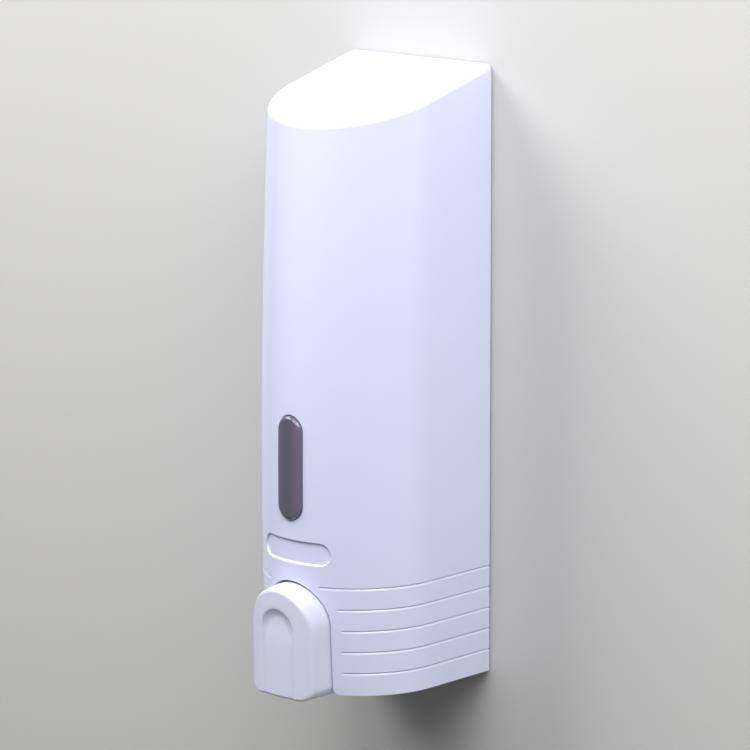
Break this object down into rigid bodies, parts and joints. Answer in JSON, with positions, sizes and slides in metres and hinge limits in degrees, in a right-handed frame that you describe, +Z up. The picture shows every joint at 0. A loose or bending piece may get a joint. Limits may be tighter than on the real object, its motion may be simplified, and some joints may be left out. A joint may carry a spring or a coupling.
{
  "type": "wall mounted soap dispenser",
  "caption": "D-shaped wall dispenser for liquid soap: lift-off cover with a level window, push button, spring-return pump and refillable tank with a hinged lid.",
  "frame": {"origin": "on the wall, in the middle of the wall plate's back face", "axes": "+Z up along the height, +Y into the wall, +X to the right seen from the front"},
  "size_m": [0.07, 0.0772, 0.2262],
  "materials": {
    "cover_white": "glossy moulded ABS, cool white",
    "button_white": "glossy moulded ABS, cool white",
    "plate_white": "satin moulded ABS",
    "lens_smoke": "polished smoky clear plastic",
    "tank_clear": "clear blow-moulded plastic",
    "natural_plastic": "natural polypropylene",
    "grey_plastic": "satin grey acetal",
    "silicone": "milky silicone",
    "black_rubber": "matt black rubber",
    "steel": "stainless steel"
  },
  "bodies": {
    "root": {"wall_plate": "plate_white", "reservoir": "tank_clear", "lid_hinge_pin": "steel", "reservoir_clip_left": "grey_plastic", "reservoir_clip_right": "grey_plastic", "clip_screw_left": "steel", "clip_screw_right": "steel", "pump_body": "natural_plastic", "pump_screw_left": "steel", "pump_screw_right": "steel", "gland_cap": "grey_plastic", "rod_wiper": "black_rubber", "return_spring": "steel", "ball_cage": "natural_plastic", "valve_seat": "silicone", "outlet_gasket": "black_rubber", "union_nut": "grey_plastic", "outlet_valve": "silicone", "nozzle": "natural_plastic"},
    "cover": {"front_cover": "cover_white", "window_lens": "lens_smoke"},
    "button": {"push_button": "button_white", "button_pin": "steel", "plunger": "grey_plastic", "piston_seal": "black_rubber"},
    "lid": {"refill_lid": "natural_plastic", "lid_seal": "silicone"},
    "ball": {"inlet_ball": "steel"}
  },
  "joints": [
    {"name": "cover_lift", "type": "slide", "parent": "root", "child": "cover", "axis": [0, 0, 1], "range_m": [0, 0.23]},
    {"name": "button_press", "type": "slide", "parent": "root", "child": "button", "axis": [0, 1, 0], "range_m": [0, 0.008], "stiffness_N_per_m": 250, "springref_m": -0.008, "deforming": ["return_spring"]},
    {"name": "lid_hinge", "type": "hinge", "parent": "root", "child": "lid", "pos_m": [0, -0.0155, 0.059], "axis": [-1, 0, 0], "range_deg": [0, 90]},
    {"name": "ball_lift", "type": "slide", "parent": "root", "child": "ball", "axis": [0, 0, 1], "range_m": [0, 0.0015]}
  ]
}
